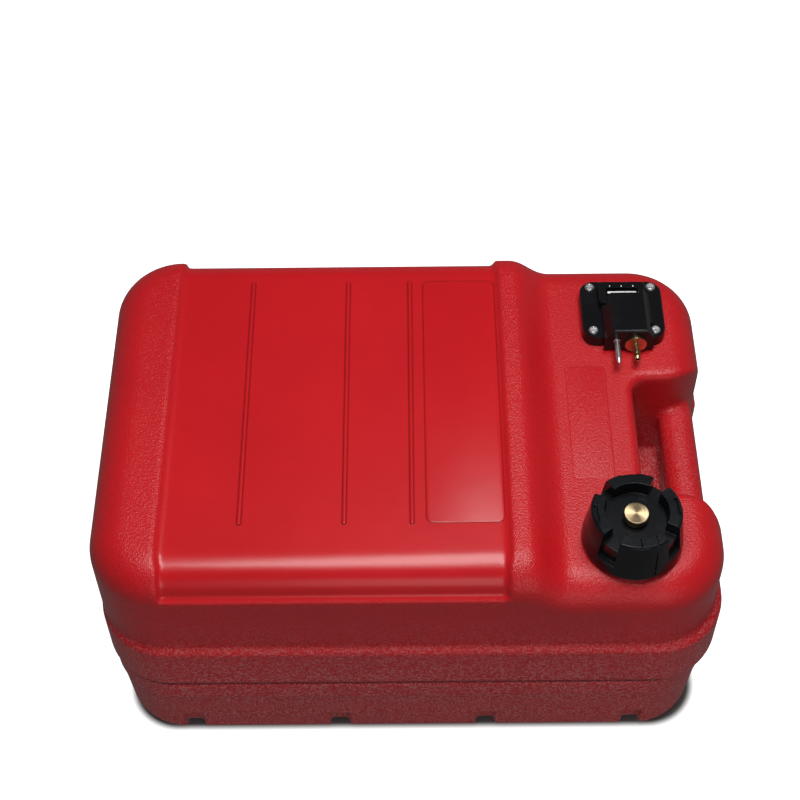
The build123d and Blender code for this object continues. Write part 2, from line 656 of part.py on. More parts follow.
def gauge_room():
    """Space in the head for the gauge: window seat, sight slot, drum chamber and pivot bore."""
    half_l = WINDOW_LENGTH / 2
    half_w = WINDOW_WIDTH / 2
    sight_l = half_l - WINDOW_RIM
    sight_w = half_w - WINDOW_RIM
    half_c = DRUM_WIDTH / 2 + CHAMBER_FIT
    half_p = PIVOT_LENGTH / 2
    room = DRUM_R + CHAMBER_FIT
    chamber_z = PIVOT_Z + DRUM_R + DRUM_GAP / 2
    space = box(-half_l, half_l, -half_w, half_w, WINDOW_Z0, BLOCK_Z1 + 1)
    space = space + box(-sight_l, sight_l, -sight_w, sight_w, PIVOT_Z, BLOCK_Z1)
    space = space + box(-room, room, -half_c, half_c, PLATE_Z0 - 1, chamber_z)
    space = space + rod_y(0, PIVOT_Z, -half_p, half_p, PIVOT_R)
    return Pos(METER_X, GAUGE_Y, 0) * space


def fuel_room():
    """Space in the head for the prong's shank, the passage behind it, and the pickup tube."""
    y0 = BLOCK_FACE_Y
    low = PLATE_Z0 - 1
    seat_r = TUBE_R + TUBE_SEAL_T
    space = rod_y(OUTLET_X, OUTLET_Z, y0 - 1, y0 + PRONG_SHANK_LENGTH, PRONG_SHANK_R)
    space = space + rod_y(OUTLET_X, OUTLET_Z, y0, PICKUP_Y, PASSAGE_R)
    space = space + rod(OUTLET_X, PICKUP_Y, low, OUTLET_Z, PASSAGE_R)
    space = space + rod(OUTLET_X, PICKUP_Y, low, PLATE_Z0 + TUBE_SEAT, TUBE_R)
    return space + rod(OUTLET_X, PICKUP_Y, low, PLATE_Z0 + TUBE_SEAL_T, seat_r)


def meter_body():
    """Moulded fuel head: plate, fuel block and gauge housing in one piece."""
    plate = extrude(plate_outline(), PLATE_THICK)
    plate = Pos(METER_X, METER_Y, PLATE_Z0) * chamfer(top_edges(plate), PLATE_EDGE)
    housing = extrude(RectangleRounded(HOUSING_WIDTH, HOUSING_LENGTH, HOUSING_R), HOUSING_Z1 - PLATE_Z0)
    housing_y = METER_Y + PLATE_WIDTH / 2 - HOUSING_SETBACK - HOUSING_LENGTH / 2
    housing = Pos(METER_X, housing_y, PLATE_Z0) * chamfer(top_edges(housing), PLATE_EDGE)
    body = plate + housing + head_block() - gauge_room() - fuel_room()
    guide_z = PLATE_Z1 + GUIDE_Z_RISE
    body = body - rod_y(GUIDE_X, guide_z, BLOCK_FACE_Y - 1, BLOCK_FACE_Y + GUIDE_ROOT, GUIDE_ROOT_R)
    for x, y in SCREW_SPOTS:
        body = body - rod(x, y, PLATE_Z0 - 1, PLATE_Z1 + 1, SCREW_R + FIT)
        body = body - rod(x, y, PLATE_Z1 - HEAD_SINK, BLOCK_Z1, HEAD_SEAT_R)
    return body


def meter_screws():
    """Pan-head screws with cross recesses."""
    seat_z = PLATE_Z1 - HEAD_SINK
    screws = []
    for x, y in SCREW_SPOTS:
        head = rod(x, y, seat_z, seat_z + HEAD_HEIGHT, HEAD_R)
        head = chamfer(top_edges(head), HEAD_EDGE)
        screw = head + rod(x, y, seat_z - SCREW_LENGTH, seat_z, SCREW_R)
        top = seat_z + HEAD_HEIGHT
        for long_x, long_y in ((DRIVE_LENGTH, DRIVE_WIDTH), (DRIVE_WIDTH, DRIVE_LENGTH)):
            screw = screw - box(x - long_x / 2, x + long_x / 2, y - long_y / 2, y + long_y / 2,
                                top - DRIVE_DEPTH, top + 1)
        screws.append(screw)
    return Compound(children=[s.solids()[0] for s in screws])


def screw_inserts():
    """Brass inserts moulded into the seat."""
    inserts = []
    for x, y in SCREW_SPOTS:
        ring = rod(x, y, SEAT_Z - INSERT_LENGTH, SEAT_Z, INSERT_R)
        ring = ring - rod(x, y, SEAT_Z - INSERT_LENGTH - 1, SEAT_Z + 1, SCREW_R + SCREW_FIT)
        inserts.append(ring.solids()[0])
    return Compound(children=inserts)


def gauge_window():
    """Clear pane in the housing's top."""
    half_l = WINDOW_LENGTH / 2
    half_w = WINDOW_WIDTH / 2
    pane = box(-half_l, half_l, -half_w, half_w, WINDOW_Z0, WINDOW_Z1)
    return Pos(METER_X, GAUGE_Y, 0) * pane


# ---------------------------------------------------------------- level gauge, modelled with the tank empty
def empty_pose(solid):
    """Turn a piece about the gauge's pivot from the full to the empty position."""
    return Pos(METER_X, GAUGE_Y, PIVOT_Z) * Rot(Y=-SWING) * solid


def gauge_drum():
    """Drum that shows the level, with the hub that the wire is fixed in."""
    drum = Rot(X=90) * Cylinder(DRUM_R, DRUM_WIDTH)
    drum = chamfer(drum.edges().filter_by(GeomType.CIRCLE), DRUM_EDGE)
    drum = drum - Rot(X=90) * Cylinder(PIVOT_R + PIVOT_FIT, 2 * DRUM_WIDTH)
    drum = drum - Pos(0, 0, -DRUM_R) * Cylinder(ARM_R, DRUM_R)
    return empty_pose(drum)


def float_pivot():
    """Steel pin that the drum turns on."""
    half_p = PIVOT_LENGTH / 2
    return rod_y(METER_X, PIVOT_Z, GAUGE_Y - half_p, GAUGE_Y + half_p, PIVOT_R)


def float_arm():
    """Cranked wire from the drum to the float."""
    route = FilletPolyline((0, 0, -DRUM_R / 2), (0, 0, -ARM_CRANK), (-ARM_LENGTH, 0, -ARM_CRANK),
                           radius=ARM_BEND_R)
    section = Plane(origin=route @ 0, z_dir=route % 0) * Circle(ARM_R)
    return empty_pose(sweep(section, path=route))


def float_():
    """Float on the end of the wire."""
    body = Rot(X=90) * Cylinder(FLOAT_R, FLOAT_LENGTH)
    body = chamfer(body.edges().filter_by(GeomType.CIRCLE), FLOAT_EDGE)
    body = body - Pos(FLOAT_R / 2, 0, 0) * Rot(Y=90) * Cylinder(ARM_R, FLOAT_R)
    return empty_pose(Pos(-ARM_LENGTH, 0, -ARM_CRANK) * body)


# ---------------------------------------------------------------- pickup
def pickup_tube():
    """Tube from the head down to the tank's bottom."""
    body = rod(OUTLET_X, PICKUP_Y, TUBE_FOOT_Z, PLATE_Z0 + TUBE_SEAT, TUBE_R)
    return body - rod(OUTLET_X, PICKUP_Y, TUBE_FOOT_Z - 1, PLATE_Z0 + TUBE_SEAT + 1, TUBE_BORE_R)


def tube_seal():
    """Square-cut rubber ring in the mouth of the tube's seat."""
    outer = TUBE_R + TUBE_SEAL_T
    ring = turned([(TUBE_R, 0), (outer, 0), (outer, TUBE_SEAL_T), (TUBE_R, TUBE_SEAL_T)])
    return Pos(OUTLET_X, PICKUP_Y, PLATE_Z0) * ring


def pickup_strainer():
    """Cage round the tube's lower end, with upright windows."""
    z0 = STRAINER_FOOT_Z
    z1 = z0 + STRAINER_LENGTH
    inner = STRAINER_R - STRAINER_WALL
    cap_z = z1 - STRAINER_CAP
    floor_z = z0 + STRAINER_WALL
    cage = turned([(0, z0), (STRAINER_R, z0), (STRAINER_R, z1), (TUBE_R, z1), (TUBE_R, cap_z),
                   (inner, cap_z), (inner, floor_z), (0, floor_z)])
    low = z0 + STRAINER_BAND
    high = z1 - STRAINER_BAND
    half = STRAINER_WINDOW_WIDTH / 2
    for i in range(STRAINER_WINDOWS):
        window = box(STRAINER_R / 2, STRAINER_R + 1, -half, half, low, high)
        cage = cage - Rot(Z=i * 360 / STRAINER_WINDOWS) * window
    return Pos(OUTLET_X, PICKUP_Y, 0) * cage


# ---------------------------------------------------------------- outlet prong and guide pin
def at_prong(solid):
    """Place a piece whose axis is Y and whose origin is the middle of the prong's seat."""
    return Pos(OUTLET_X, BLOCK_FACE_Y, OUTLET_Z) * solid


def fuel_prong():
    """Turned brass prong: shank with a seal groove, round flange, stem and ringed tip."""
    shank = PRONG_SHANK_R
    groove = PRONG_SHANK_R - PRONG_SEAL_T
    groove_y = PRONG_SEAL_Y + PRONG_SEAL_T
    face = -PRONG_FLANGE_T
    tip = face - PRONG_LENGTH
    stem = PRONG_STEM_R
    ring = PRONG_HEAD_R
    ring_t = PRONG_RING_T
    ring_y = tip + PRONG_HEAD_LENGTH
    bore = PRONG_BORE_R
    body = turned_y([
        (bore, PRONG_SHANK_LENGTH), (shank, PRONG_SHANK_LENGTH), (shank, groove_y), (groove, groove_y),
        (groove, PRONG_SEAL_Y), (shank, PRONG_SEAL_Y), (shank, 0), (PRONG_FLANGE_R, 0),
        (PRONG_FLANGE_R, face), (stem, face), (stem, ring_y + 1), (ring, ring_y), (ring, ring_y - ring_t),
        (stem, ring_y - ring_t), (stem, ring_y - 2 * ring_t), (ring, tip + ring_t), (stem, tip), (bore, tip)])
    return at_prong(body)


def prong_seal():
    """Square-cut rubber ring in the shank's groove."""
    inner = PRONG_SHANK_R - PRONG_SEAL_T
    y1 = PRONG_SEAL_Y + PRONG_SEAL_T
    return at_prong(turned_y([(inner, PRONG_SEAL_Y), (PRONG_SHANK_R, PRONG_SEAL_Y), (PRONG_SHANK_R, y1),
                              (inner, y1)]))


def guide_pin():
    """Steel pin beside the prong, with a thicker root and a tapered tip."""
    tip = -GUIDE_LENGTH
    body = turned_y([(0, GUIDE_ROOT), (GUIDE_ROOT_R, GUIDE_ROOT), (GUIDE_ROOT_R, 0), (GUIDE_RELIEF_R, 0),
                     (GUIDE_RELIEF_R, -GUIDE_RELIEF), (GUIDE_R, -GUIDE_RELIEF), (GUIDE_R, tip + GUIDE_TAPER),
                     (GUIDE_TIP_R, tip + GUIDE_TIP_EDGE), (GUIDE_TIP_R / 2, tip), (0, tip)])
    return Pos(GUIDE_X, BLOCK_FACE_Y, PLATE_Z1 + GUIDE_Z_RISE) * body


# ---------------------------------------------------------------- writing the pieces
PIECES = {
    "tank_body": tank_body,
    "cap_shell": cap_shell,
    "cap_liner": cap_liner,
    "cap_gasket": cap_gasket,
    "vent_bush": vent_bush,
    "vent_seal": vent_seal,
    "vent_knob": vent_knob,
    "meter_gasket": meter_gasket,
    "meter_body": meter_body,
    "meter_screws": meter_screws,
    "screw_inserts": screw_inserts,
    "gauge_window": gauge_window,
    "gauge_drum": gauge_drum,
    "float_pivot": float_pivot,
    "float_arm": float_arm,
    "float": float_,
    "pickup_tube": pickup_tube,
    "tube_seal": tube_seal,
    "pickup_strainer": pickup_strainer,
    "fuel_prong": fuel_prong,
    "prong_seal": prong_seal,
    "guide_pin": guide_pin,
}


def main():
    os.makedirs("parts", exist_ok=True)
    for name, make in PIECES.items():
        export_step(make(), f"parts/{name}.step")


main()
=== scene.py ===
"""Looks of the outboard fuel tank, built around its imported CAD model.

Everything is in metres, in the CAD model's frame: +Z up, +X the handle end, -Y the filler cap's side.
"""
import json
import math

import bmesh
import bpy
from mathutils import Matrix, Vector
from mathutils.bvhtree import BVHTree

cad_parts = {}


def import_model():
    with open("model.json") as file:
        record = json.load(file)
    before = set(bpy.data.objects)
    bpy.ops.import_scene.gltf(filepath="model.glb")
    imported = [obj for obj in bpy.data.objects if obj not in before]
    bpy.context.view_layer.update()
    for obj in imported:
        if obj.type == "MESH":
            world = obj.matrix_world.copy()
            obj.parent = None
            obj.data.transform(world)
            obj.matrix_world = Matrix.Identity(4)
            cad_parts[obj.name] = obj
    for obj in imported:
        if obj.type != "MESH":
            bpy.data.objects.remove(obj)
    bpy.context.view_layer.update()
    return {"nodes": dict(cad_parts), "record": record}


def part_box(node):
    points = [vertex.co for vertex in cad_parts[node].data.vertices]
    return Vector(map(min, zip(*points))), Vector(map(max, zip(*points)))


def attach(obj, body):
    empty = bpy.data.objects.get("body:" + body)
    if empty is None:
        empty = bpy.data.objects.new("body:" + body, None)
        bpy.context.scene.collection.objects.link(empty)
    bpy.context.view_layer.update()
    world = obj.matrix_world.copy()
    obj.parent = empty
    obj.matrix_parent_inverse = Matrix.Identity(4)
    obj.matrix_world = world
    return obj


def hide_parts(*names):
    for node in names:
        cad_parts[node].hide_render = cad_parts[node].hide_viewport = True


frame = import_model()
NODES = frame["nodes"]
SLOT_OF = {part["node"]: part["material_slot"] for part in frame["record"]["subparts"]}
MM = 0.001

# ------------------------------------------------------------------ places taken from the CAD model
TANK_LOW, TANK_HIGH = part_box("tank_body")
CAP_LOW, CAP_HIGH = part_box("cap_shell")
WINDOW_LOW, WINDOW_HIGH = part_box("gauge_window")
PRONG_LOW, PRONG_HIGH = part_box("fuel_prong")
CAP_AXIS = (CAP_LOW + CAP_HIGH) / 2
PRONG_AXIS = (PRONG_LOW + PRONG_HIGH) / 2
PLATE_AXIS = sum((Vector(corner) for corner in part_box("meter_gasket")), Vector()) / 2
WALL = 4.0 * MM
NECK_TOP = TANK_HIGH.z
NECK_R = 27 * MM
NECK_BORE_R = 21.5 * MM
HATCH_R = 25 * MM            # the tank's hole under the fuel head
DECK_Z = NECK_TOP - 22 * MM
HUMP_Z = DECK_Z + 20 * MM
PANEL_Z = HUMP_Z - 4.5 * MM
PANEL_X = (TANK_LOW.x + 59 * MM, TANK_LOW.x + 329 * MM)
PANEL_FOOT_Z = HUMP_Z - 28 * MM
LEDGE_Z = 147 * MM
SEAM_Z = 95 * MM


# ------------------------------------------------------------------ colours
def darker(color, share):
    """A colour scaled by a share, which may be above 1."""
    return tuple(channel * share for channel in color[:3]) + (1,)


RED = (0.56, 0.009, 0.014, 1)
# Painted reflection: the pale red that the grain's crests take, most at the foot.
REFLECTION_PALE_RED = (0.64, 0.18, 0.19, 1)
# Painted shade round the feet of the ribs and of the panel's raised field.
RIB_SHADE_RED = darker(RED, share=0.25)
# Painted shade in the seam groove.
SEAM_SHADE_RED = darker(RED, share=0.2)
BLACK_CAP = (0.0055, 0.006, 0.0072, 1)
BLACK_HEAD = (0.005, 0.0052, 0.006, 1)
RUBBER = (0.018, 0.018, 0.018, 1)
BRASS = (0.58, 0.43, 0.25, 1)
BRIGHT = (0.86, 0.86, 0.87, 1)
STEEL = (0.62, 0.61, 0.60, 1)
WHITE = (0.80, 0.80, 0.78, 1)
FOAM = (0.10, 0.08, 0.07, 1)
CLEAR = (0.93, 0.95, 0.95, 1)

# ------------------------------------------------------------------ the red plastic's surface
GRAIN_SCALE = 620            # noise cells per metre, as all the scales here
FINE_GRAIN_SCALE = 1700
WAVE_SCALE = 24
CLOUD_SCALE = 9
GRAIN_SHARE = 0.7            # the coarse grain's share of the relief
GRAIN_DEPTH = 1.4 * MM
WAVE_DEPTH = 1.2 * MM
HIGH_GRAIN = 0.5             # depth of the grain high up, where 1 is its depth at the foot
HIGH_SHEEN_SPECKS = 0.01           # how pale the grain's crests are painted high up, as painted reflection
LOW_SHEEN_SPECKS = 0.86            # and at the foot, where the painted reflection of the white floor is strongest
SHEEN_SPECK_SPAN = (0.47, 0.62)    # grain heights over which a crest turns pale with the painted reflection
FOOT_FADE = 60 * MM          # the look changes from high to low within this of the ledge
PANEL_FADE = 1.5 * MM        # and from grained to smooth within this of the panel's edges
SMOOTH_ROUGHNESS = 0.26
GRAINED_ROUGHNESS = 0.30
CLOUD_ROUGHNESS = 0.05
OUTLINE_WIDTH = 1.1 * MM     # painted shade line round the ribs and the panel's raised field
OUTLINE_CORE = 0.2           # share of that width with the full shade
OUTLINE_SHADE = 0.45
OUTLINE_SPAN_Z = (DECK_Z - 5 * MM, DECK_Z - 2 * MM)          # no such line below this height
SEAM_HALF_WIDTHS = (2.4 * MM, 1.0 * MM)          # where the seam groove's painted shade starts and where it is full
SEAM_SHADE = 0.62

# ------------------------------------------------------------------ the skin's shape
VOXEL = 1.9 * MM
WELD = 0.002 * MM            # points nearer than this are one
PROBE = 0.2 * MM             # how far off a face the way outside is looked for
RELAX_FACTOR = 0.5
RELAX_ROUNDS = 7
RELAX_START = 6 * MM         # above the ledge the skin relaxes more and more from here,
RELAX_RISE = 20 * MM         # in full from this much higher,
LOW_RELAX = 0.28             # by this share of it below,
NECK_RELAX = 0.1             # and by this share on the filler neck
NECK_ROOM_R = 36 * MM
NECK_FOOT = 1.5 * MM
KEPT_SHARE = 0.38            # share of the skin's faces that is kept, the flat stretches going first
THREAD_PITCH = 8 * MM        # the cap lifts by this in a turn
THREAD_DEPTH = 1.1 * MM
THREAD_REACH = 1.5 * MM      # only points this near to the neck's wall are moved
THREAD_SPAN_Z = (DECK_Z + 3 * MM, NECK_TOP - 2 * MM)
HATCH_DROP = 30 * MM
HATCH_SPAN_Z = (DECK_Z - 40 * MM, DECK_Z - 1 * MM)
HATCH_CLOSURE_R = HATCH_R - 1.5 * MM
HOLES = ((CAP_AXIS, NECK_BORE_R + 1.5 * MM), (PLATE_AXIS, HATCH_R + 2 * MM))     # each with some room

RIB_WIDTH = 3.8 * MM
RIB_HEIGHT = 1.4 * MM
RIB_OFFSETS = (61 * MM, 143 * MM, 196 * MM)      # from the panel's left edge
RIB_ENDS = (-115.5 * MM, 134.5 * MM)
RIB_BED_REACH = 9 * MM       # the panel is level this far beside a rib's middle
RIB_BED_END = 7 * MM         # and this far past its ends
RIB_PROFILE = ((1.0, -0.6), (0.98, 0.0), (0.86, 0.45),      # shares of its half width and of its height
               (0.62, 0.8), (0.34, 0.96), (0.08, 1.0))
PANEL_FIELD = (11.5 * MM, 73.0 * MM, -114.5 * MM, 134.5 * MM, 6 * MM)       # x, x, y, y, corner radius
PANEL_FIELD_RISE = 0.35 * MM
DECK_FIELD = (130.5 * MM, 164.5 * MM, -63.5 * MM, 51.5 * MM, 4 * MM)
DECK_FIELD_RISE = 0.3 * MM
FIELD_EDGE = ((0.0, -1.5), (0.0, 0.0), (0.25 * MM, 0.7), (0.7 * MM, 1.0))   # inset, share of the rise

# ------------------------------------------------------------------ the other pieces' shape
FLAT_BELOW = 0.5             # degrees between faces up to which they are joined,
ROUNDED_FROM = 32            # from which the edge is rounded
CRISP_FROM = 40              # and from which it is shaded as an edge
BAR_INSET = 1.2 * MM         # from the window's ends
BAR_SHIFT = 0.8 * MM         # behind the window's middle
BAR_HALF_WIDTH = 1.1 * MM
TICK_SHIFTS = (-10 * MM, 0.0, 10 * MM)
TICK_GAP = 1.3 * MM          # behind the window
TICK_RISE = 0.8 * MM         # above it
TICK_LENGTH = 1.8 * MM
TICK_HALF_WIDTH = 0.4 * MM
MARK_CORNER = 0.35 * MM
MARK_EDGE = ((0.0, -0.1 * MM), (0.0, 0.08 * MM), (0.08 * MM, 0.14 * MM))    # inset, height

# ------------------------------------------------------------------ camera and stage
CAMERA_PLACE = Vector((-2.92, -821.86, 1329.08)) * MM
CAMERA_PITCH = math.radians(52.733)
CAMERA_YAW = math.radians(-0.379)
CAMERA_ROLL = math.radians(-0.793)
CAMERA_LENS = 74.91
CAMERA_SENSOR = 36.0
CAMERA_NEAR = 0.05
FLOOR_REACH = 6.0
FOOT_CORNER = 50 * MM        # rounding of the tank's outline, as the floor sees it
FOOT_SHADE_FULL = -12 * MM   # measured outwards from that outline, the floor's painted shadow is full up to here
FOOT_SHADE_GONE = -3 * MM    # and white from here
FLOOR_SEEN = 0.75            # the floor's whiteness as the camera sees it,
FLOOR_SHADOW_WHITENESS = 0.25          # its whiteness under the tank, darkened as a painted shadow,
FLOOR_BOUNCE = 0.3           # as it lights the tank,
FLOOR_MIRRORED = 0.1         # and as the tank mirrors it, with a little glow
FLOOR_SHINE = 0.1
SKY_LEVEL = 0.06
HORIZON_SHINE = 0.16
HORIZON_SPAN = (0.2, 0.6)    # slopes over which that shine fades into the sky's level
LIT_POINT = (0.0, 0.0, 0.1)


# ------------------------------------------------------------------ node helpers
def feed(tree, socket, value):
    """Feed a socket from another node's output, or set it to a plain value."""
    if isinstance(value, bpy.types.NodeSocket):
        tree.links.new(value, socket)
    else:
        socket.default_value = value


def math_node(tree, operation, a, b=0.0, clamp=False):
    """A Math node's result, from plain numbers or other nodes' outputs."""
    node = tree.nodes.new("ShaderNodeMath")
    node.operation = operation
    node.use_clamp = clamp
    feed(tree, node.inputs[0], a)
    feed(tree, node.inputs[1], b)
    return node.outputs[0]


def span_node(tree, value, low, high, start=0.0, end=1.0, kind="SMOOTHSTEP"):
    """A number that goes from start to end while a value goes from low to high."""
    node = tree.nodes.new("ShaderNodeMapRange")
    node.interpolation_type = kind
    given = {"Value": value, "From Min": low, "From Max": high, "To Min": start, "To Max": end}
    for name, number in given.items():
        feed(tree, node.inputs[name], number)
    return node.outputs["Result"]


def axes_node(tree, place):
    """The x, y and z of a place."""
    node = tree.nodes.new("ShaderNodeSeparateXYZ")
    tree.links.new(place, node.inputs[0])
    return tuple(node.outputs)


def outline_gap_node(tree, x, y, shape):
    """Distance from a rounded rectangle's outline, below 0 on its inside."""
    x0, x1, y0, y1, radius = shape
    reach = []
    for value, low, high in ((x, x0, x1), (y, y0, y1)):
        beyond = math_node(tree, "ABSOLUTE", math_node(tree, "SUBTRACT", value, (low + high) / 2))
        beyond = math_node(tree, "SUBTRACT", beyond, (high - low) / 2 - radius)
        beyond = math_node(tree, "MAXIMUM", beyond, 0.0)
        reach.append(math_node(tree, "MULTIPLY", beyond, beyond))
    distance = math_node(tree, "SQRT", math_node(tree, "ADD", *reach))
    return math_node(tree, "SUBTRACT", distance, radius)


class Shader:
    """A Principled material with a short way to add nodes."""

    def __init__(self, name, color, roughness, metallic=0.0, specular=0.5):
        self.material = bpy.data.materials.new(name)
        self.material.use_nodes = True
        self.tree = self.material.node_tree
        self.main = self.tree.nodes["Principled BSDF"]
        self.main.inputs["Base Color"].default_value = color
        self.main.inputs["Roughness"].default_value = roughness
        self.main.inputs["Metallic"].default_value = metallic
        self.main.inputs["Specular IOR Level"].default_value = specular
        self.place = self.add("ShaderNodeTexCoord").outputs["Object"]

    def add(self, kind, **settings):
        node = self.tree.nodes.new(kind)
        for key, value in settings.items():
            setattr(node, key, value)
        return node

    def put(self, socket, value):
        feed(self.tree, socket, value)

    def math(self, operation, a, b=0.0, clamp=False):
        return math_node(self.tree, operation, a, b, clamp)

    def span(self, value, low, high):
        return span_node(self.tree, value, low, high)

    def axes(self):
        return axes_node(self.tree, self.place)

    def between(self, start, end, share):
        """A number that a share takes from start to end."""
        return self.math("ADD", start, self.math("MULTIPLY", share, end - start))

    def noise(self, scale, detail=3.0, roughness=0.55, place=None):
        node = self.add("ShaderNodeTexNoise")
        self.put(node.inputs["Vector"], self.place if place is None else place)
        self.put(node.inputs["Scale"], scale)
        self.put(node.inputs["Detail"], detail)
        self.put(node.inputs["Roughness"], roughness)
        return node.outputs["Fac"]

    def blend(self, share, first, second):
        """A colour that a share takes from the first to the second."""
        node = self.add("ShaderNodeMix", data_type="RGBA")
        self.put(node.inputs[0], share)
        self.put(node.inputs[6], first)
        self.put(node.inputs[7], second)
        return node.outputs[2]

    def outline_line(self, x, y, shape):
        """1 along the outline of a rounded rectangle, fading to 0 on both sides."""
        gap = self.math("ABSOLUTE", outline_gap_node(self.tree, x, y, shape))
        return self.span(gap, OUTLINE_WIDTH, OUTLINE_WIDTH * OUTLINE_CORE)

    def bump(self, height, distance, strength=1.0, below=None):
        node = self.add("ShaderNodeBump")
        self.put(node.inputs["Height"], height)
        self.put(node.inputs["Distance"], distance)
        self.put(node.inputs["Strength"], strength)
        if below is not None:
            self.put(node.inputs["Normal"], below)
        return node.outputs["Normal"]

    def ring_place(self, radius, along, radius_scale=9000.0, along_scale=3000.0):
        """Coordinates that change only with the distance from an axis and the place along it."""
        node = self.add("ShaderNodeCombineXYZ")
        self.put(node.inputs[0], self.math("MULTIPLY", radius, radius_scale))
        self.put(node.inputs[1], self.math("MULTIPLY", along, along_scale))
        return node.outputs[0]

    def finish(self, color=None, roughness=None, normal=None):
        for name, value in (("Base Color", color), ("Roughness", roughness), ("Normal", normal)):
            if value is not None:
                self.put(self.main.inputs[name], value)
        return self.material


# ------------------------------------------------------------------ materials
def red_plastic():
    """Moulded polyethylene: grained all over, smooth on the saddle panel; painted reflection on the grain,
    painted shade at ribs and seam.
    """
    s = Shader("red_polyethylene", RED, roughness=0.4, specular=0.42)
    x, y, z = s.axes()
    smooth = s.math("MULTIPLY", s.span(x, PANEL_X[0] - PANEL_FADE, PANEL_X[0] + PANEL_FADE),
                    s.span(x, PANEL_X[1] + PANEL_FADE, PANEL_X[1] - PANEL_FADE))
    smooth = s.math("MULTIPLY", smooth, s.span(z, PANEL_FOOT_Z - PANEL_FADE, PANEL_FOOT_Z + PANEL_FADE))
    grained = s.math("SUBTRACT", 1.0, smooth, clamp=True)
    low = s.span(z, LEDGE_Z + FOOT_FADE, LEDGE_Z - FOOT_FADE)
    cloud = s.noise(CLOUD_SCALE, detail=4.0, roughness=0.6)

    waves = s.noise(WAVE_SCALE, detail=2.0, roughness=0.5)
    grain = s.noise(GRAIN_SCALE, detail=1.0, roughness=0.5)
    fine = s.noise(FINE_GRAIN_SCALE, detail=1.0, roughness=0.5)
    relief = s.math("ADD", s.math("MULTIPLY", grain, GRAIN_SHARE), s.math("MULTIPLY", fine, 1 - GRAIN_SHARE))
    depth = s.math("MULTIPLY", grained, s.between(HIGH_GRAIN, 1.0, low))
    normal = s.bump(waves, WAVE_DEPTH, strength=0.2)
    normal = s.bump(relief, GRAIN_DEPTH, depth, below=normal)

    color = s.blend(s.span(cloud, low=0.35, high=0.7), darker(RED, share=0.93), RED)
    # Painted reflection: pale crests on the grain stand for the white floor and softbox mirrored in it, most
    # at the foot.
    sheen_specks = s.math("MULTIPLY", s.span(grain, *SHEEN_SPECK_SPAN), grained)
    sheen_specks = s.math("MULTIPLY", sheen_specks, s.between(HIGH_SHEEN_SPECKS, LOW_SHEEN_SPECKS, low))
    color = s.blend(sheen_specks, color, REFLECTION_PALE_RED)
    # Painted shade: a dark line round the ribs and the raised field, where their edges would shade the
    # panel.
    color = s.blend(s.math("MULTIPLY", painted_rib_shade_lines(s, x, y, z), OUTLINE_SHADE), color, RIB_SHADE_RED)
    # Painted shade: a dark line along the seam groove, where the groove would be in shade.
    seam = s.span(s.math("ABSOLUTE", s.math("SUBTRACT", z, SEAM_Z)), *SEAM_HALF_WIDTHS)
    color = s.blend(s.math("MULTIPLY", seam, SEAM_SHADE), color, SEAM_SHADE_RED)

    rough = s.between(SMOOTH_ROUGHNESS, GRAINED_ROUGHNESS, grained)
    rough = s.math("ADD", rough, s.math("MULTIPLY", cloud, CLOUD_ROUGHNESS))
    return s.finish(color, rough, normal)


def painted_rib_shade_lines(s, x, y, z):
    """1 along the painted shade lines round the ribs and the panel's raised field, on the tank's top alone.
    """
    shapes = [PANEL_FIELD]
    for shift in RIB_OFFSETS:
        middle = PANEL_X[0] + shift
        shapes.append((middle - RIB_WIDTH / 2, middle + RIB_WIDTH / 2, *RIB_ENDS, RIB_WIDTH / 2))
    shade = s.outline_line(x, y, shapes[0])
    for shape in shapes[1:]:
        shade = s.math("MAXIMUM", shade, s.outline_line(x, y, shape))
    return s.math("MULTIPLY", shade, s.span(z, *OUTLINE_SPAN_Z))


def black_plastic(name, color, roughness, specular):
    """Moulded black plastic: a fine matt grain and slightly rubbed, greyer patches."""
    s = Shader(name, color, roughness, specular=specular)
    grain = s.noise(1400, detail=2.0, roughness=0.6)
    cloud = s.noise(38, detail=4.0, roughness=0.6)
    rub = s.span(cloud, low=0.45, high=0.75)
    shade = s.blend(s.math("MULTIPLY", rub, 0.5), color, darker(color, share=1.8))
    rough = s.between(roughness - 0.05, roughness + 0.07, cloud)
    return s.finish(shade, rough, s.bump(grain, 0.06 * MM, strength=0.5))


def rubber():
    s = Shader("black_rubber", RUBBER, roughness=0.7, specular=0.3)
    return s.finish(normal=s.bump(s.noise(900), 0.08 * MM, strength=0.6))


def turned_metal(name, color, roughness, centre, axis, spin=0.0):
    """Metal turned on a lathe: fine rings about an axis through centre, which spread its glints by spin."""
    s = Shader(name, color, roughness, metallic=1.0)
    s.main.inputs["Anisotropic"].default_value = spin
    around_axis = s.add("ShaderNodeTangent", direction_type="RADIAL", axis="XYZ"[axis])
    s.put(s.main.inputs["Tangent"], around_axis.outputs[0])
    places = s.axes()
    asides = [s.math("SUBTRACT", places[i], centre[i]) for i in range(3) if i != axis]
    radius = s.math("SQRT", s.math("ADD", *[s.math("MULTIPLY", aside, aside) for aside in asides]))
    rings = s.noise(1.0, detail=2.0, roughness=0.7, place=s.ring_place(radius, places[axis]))
    cloud = s.noise(160)
    shade = s.blend(s.span(cloud, low=0.4, high=0.75), color, darker(color, share=0.8))
    rough = s.between(roughness - 0.04, roughness + 0.06, rings)
    return s.finish(shade, rough, s.bump(rings, 0.04 * MM, strength=0.7))


def drawn_metal(name, color, roughness):
    s = Shader(name, color, roughness, metallic=1.0)
    streaks = s.noise(400, detail=3.0, roughness=0.6)
    cloud = s.noise(90)
    shade = s.blend(s.span(cloud, low=0.4, high=0.8), color, darker(color, share=0.78))
    rough = s.between(roughness - 0.03, roughness + 0.09, streaks)
    return s.finish(shade, rough, s.bump(streaks, 0.02 * MM, strength=0.4))


